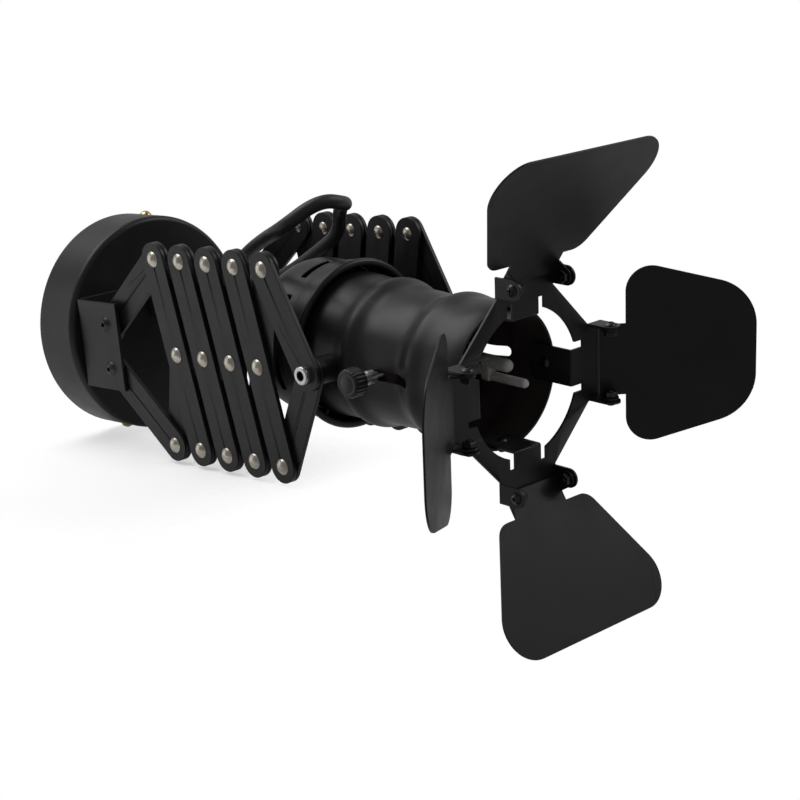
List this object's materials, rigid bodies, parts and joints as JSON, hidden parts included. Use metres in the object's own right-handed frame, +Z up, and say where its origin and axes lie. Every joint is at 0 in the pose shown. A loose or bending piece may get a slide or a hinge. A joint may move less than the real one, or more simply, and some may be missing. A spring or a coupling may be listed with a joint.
{
  "type": "wall spotlight with barn doors",
  "caption": "Wall spotlight on twin scissor arms: round canopy, tilting barrel head with focusing lampholder and a barn door of hinged leaves.",
  "frame": {"origin": "centre of the canopy on the wall, midway between the wall plate's two fixing slots", "axes": "+X away from the wall along the arms, +Z up, near arm on the -Y side"},
  "size_m": [0.362, 0.2217, 0.2287],
  "materials": {
    "black_paint": "satin black powder coat",
    "black_screws": "blackened steel",
    "nickel": "polished nickel plate",
    "bright_steel": "bright steel",
    "brass": "plain brass",
    "zinc": "zinc plate",
    "black_plastic": "matt black nylon",
    "white_plastic": "off-white plastic",
    "ceramic": "off-white glazed ceramic",
    "cable_sheath": "smooth black cable sheath"
  },
  "bodies": {
    "canopy": {"wall_plate": "zinc", "wall_plate_tabs": "zinc", "canopy_cover": "black_paint", "canopy_side_screws": "brass", "terminal_block": "white_plastic", "terminal_screws": "brass", "canopy_gland": "black_plastic", "arm_bracket": "black_paint", "bracket_fixings": "black_screws", "bracket_pivot_screws": "black_screws", "bracket_pivot_nuts": "black_screws", "flex": "cable_sheath"},
    "base_links_upper": {"base_links_upper": "black_paint"},
    "base_links_lower": {"base_links_lower": "black_paint", "rivets_base": "nickel"},
    "crossing_1": {"middle_rivets_1": "nickel"},
    "outer_pair_1": {"outer_link_1_near": "black_paint", "outer_link_1_far": "black_paint", "rivets_1": "nickel"},
    "inner_pair_1": {"inner_link_1_near": "black_paint", "inner_link_1_far": "black_paint"},
    "crossing_2": {"middle_rivets_2": "nickel"},
    "outer_pair_2": {"outer_link_2_near": "black_paint", "outer_link_2_far": "black_paint", "rivets_2": "nickel"},
    "inner_pair_2": {"inner_link_2_near": "black_paint", "inner_link_2_far": "black_paint"},
    "crossing_3": {"middle_rivets_3": "nickel"},
    "outer_pair_3": {"outer_link_3_near": "black_paint", "outer_link_3_far": "black_paint", "rivets_3": "nickel"},
    "inner_pair_3": {"inner_link_3_near": "black_paint", "inner_link_3_far": "black_paint"},
    "crossing_4": {"middle_rivets_4": "nickel"},
    "outer_pair_4": {"outer_link_4_near": "black_paint", "outer_link_4_far": "black_paint", "rivets_4": "nickel"},
    "inner_pair_4": {"inner_link_4_near": "black_paint", "inner_link_4_far": "black_paint"},
    "head_carriage": {"pivot_bolts": "bright_steel", "pivot_washers": "bright_steel"},
    "head_links_upper": {"head_links_upper": "black_paint", "rivets_head": "nickel"},
    "head_links_lower": {"head_links_lower": "black_paint"},
    "head": {"barrel": "black_paint", "rear_cap": "black_paint", "cap_screws": "black_screws", "pivot_bosses": "black_paint", "head_gland": "black_plastic", "barn_frame": "black_paint", "barn_frame_screws": "black_screws", "hinge_screws": "black_screws"},
    "lamp_focus": {"lamp_carrier": "black_paint", "lampholder": "ceramic", "holder_screws": "bright_steel", "thumb_screw": "black_plastic"},
    "leaf_top": {"leaf_top": "black_paint"},
    "leaf_left": {"leaf_left": "black_paint"},
    "leaf_bottom": {"leaf_bottom": "black_paint"},
    "leaf_right": {"leaf_right": "black_paint"}
  },
  "joints": [
    {"name": "arm_extension", "type": "slide", "parent": "canopy", "child": "head_carriage", "axis": [1, 0, 0], "range_m": [-0.014, 0.156], "deforming": ["flex"]},
    {"name": "base_upper_pivot", "type": "hinge", "parent": "canopy", "child": "base_links_upper", "pos_m": [0.0557, 0, 0.01225], "axis": [0, 1, 0], "range_deg": [-1.73, 9.13]},
    {"name": "base_lower_pivot", "type": "hinge", "parent": "canopy", "child": "base_links_lower", "pos_m": [0.0557, 0, -0.01225], "axis": [0, 1, 0], "range_deg": [-9.13, 1.73]},
    {"name": "crossing_1_slide", "type": "slide", "parent": "canopy", "child": "crossing_1", "axis": [1, 0, 0], "range_m": [-0.00302, 0.0235]},
    {"name": "outer_pair_1_pivot", "type": "hinge", "parent": "crossing_1", "child": "outer_pair_1", "pos_m": [0.11216, 0, 0], "axis": [0, 1, 0], "range_deg": [-22.21, 2.9]},
    {"name": "inner_pair_1_pivot", "type": "hinge", "parent": "crossing_1", "child": "inner_pair_1", "pos_m": [0.11216, 0, 0], "axis": [0, 1, 0], "range_deg": [-2.9, 22.21]},
    {"name": "crossing_2_slide", "type": "slide", "parent": "canopy", "child": "crossing_2", "axis": [1, 0, 0], "range_m": [-0.00616, 0.05854]},
    {"name": "outer_pair_2_pivot", "type": "hinge", "parent": "crossing_2", "child": "outer_pair_2", "pos_m": [0.13386, 0, 0], "axis": [0, 1, 0], "range_deg": [-22.21, 2.9]},
    {"name": "inner_pair_2_pivot", "type": "hinge", "parent": "crossing_2", "child": "inner_pair_2", "pos_m": [0.13386, 0, 0], "axis": [0, 1, 0], "range_deg": [-2.9, 22.21]},
    {"name": "crossing_3_slide", "type": "slide", "parent": "canopy", "child": "crossing_3", "axis": [1, 0, 0], "range_m": [-0.00931, 0.09359]},
    {"name": "outer_pair_3_pivot", "type": "hinge", "parent": "crossing_3", "child": "outer_pair_3", "pos_m": [0.15556, 0, 0], "axis": [0, 1, 0], "range_deg": [-22.21, 2.9]},
    {"name": "inner_pair_3_pivot", "type": "hinge", "parent": "crossing_3", "child": "inner_pair_3", "pos_m": [0.15556, 0, 0], "axis": [0, 1, 0], "range_deg": [-2.9, 22.21]},
    {"name": "crossing_4_slide", "type": "slide", "parent": "canopy", "child": "crossing_4", "axis": [1, 0, 0], "range_m": [-0.01245, 0.12864]},
    {"name": "outer_pair_4_pivot", "type": "hinge", "parent": "crossing_4", "child": "outer_pair_4", "pos_m": [0.17726, 0, 0], "axis": [0, 1, 0], "range_deg": [-22.21, 2.9]},
    {"name": "inner_pair_4_pivot", "type": "hinge", "parent": "crossing_4", "child": "inner_pair_4", "pos_m": [0.17726, 0, 0], "axis": [0, 1, 0], "range_deg": [-2.9, 22.21]},
    {"name": "head_upper_pivot", "type": "hinge", "parent": "head_carriage", "child": "head_links_upper", "pos_m": [0.21333, 0, 0], "axis": [0, 1, 0], "range_deg": [-14.11, 2.18]},
    {"name": "head_lower_pivot", "type": "hinge", "parent": "head_carriage", "child": "head_links_lower", "pos_m": [0.21333, 0, 0], "axis": [0, 1, 0], "range_deg": [-2.18, 14.11]},
    {"name": "head_tilt", "type": "hinge", "parent": "head_carriage", "child": "head", "pos_m": [0.21333, 0, 0], "axis": [0, 1, 0], "range_deg": [-75, 60], "deforming": ["flex"]},
    {"name": "lamp_focus_slide", "type": "slide", "parent": "head", "child": "lamp_focus", "axis": [0.9969, 0, -0.0785], "range_m": [0, 0.02]},
    {"name": "leaf_top_hinge", "type": "hinge", "parent": "head", "child": "leaf_top", "pos_m": [0.32228, 0, 0.04228], "axis": [0, 1, 0], "range_deg": [-42.5, 57.5]},
    {"name": "leaf_left_hinge", "type": "hinge", "parent": "head", "child": "leaf_left", "pos_m": [0.3184, -0.0495, -0.00707], "axis": [0.0785, 0, 0.9969], "range_deg": [-45, 55]},
    {"name": "leaf_bottom_hinge", "type": "hinge", "parent": "head", "child": "leaf_bottom", "pos_m": [0.31451, 0, -0.05641], "axis": [0, -1, 0], "range_deg": [-41.5, 58.5]},
    {"name": "leaf_right_hinge", "type": "hinge", "parent": "head", "child": "leaf_right", "pos_m": [0.3184, 0.0495, -0.00707], "axis": [-0.0785, 0, -0.9969], "range_deg": [-51.5, 48.5]}
  ],
  "couplings": [
    {"joint": "base_upper_pivot", "follows": "arm_extension", "rad_per_m": 0.91},
    {"joint": "base_lower_pivot", "follows": "arm_extension", "rad_per_m": -0.91},
    {"joint": "crossing_1_slide", "follows": "arm_extension", "ratio": 0.1442},
    {"joint": "outer_pair_1_pivot", "follows": "arm_extension", "rad_per_m": -2.373},
    {"joint": "inner_pair_1_pivot", "follows": "arm_extension", "rad_per_m": 2.373},
    {"joint": "crossing_2_slide", "follows": "arm_extension", "ratio": 0.36886},
    {"joint": "outer_pair_2_pivot", "follows": "arm_extension", "rad_per_m": -2.373},
    {"joint": "inner_pair_2_pivot", "follows": "arm_extension", "rad_per_m": 2.373},
    {"joint": "crossing_3_slide", "follows": "arm_extension", "ratio": 0.59352},
    {"joint": "outer_pair_3_pivot", "follows": "arm_extension", "rad_per_m": -2.373},
    {"joint": "inner_pair_3_pivot", "follows": "arm_extension", "rad_per_m": 2.373},
    {"joint": "crossing_4_slide", "follows": "arm_extension", "ratio": 0.81818},
    {"joint": "outer_pair_4_pivot", "follows": "arm_extension", "rad_per_m": -2.373},
    {"joint": "inner_pair_4_pivot", "follows": "arm_extension", "rad_per_m": 2.373},
    {"joint": "head_upper_pivot", "follows": "arm_extension", "rad_per_m": -1.467},
    {"joint": "head_lower_pivot", "follows": "arm_extension", "rad_per_m": 1.467}
  ]
}
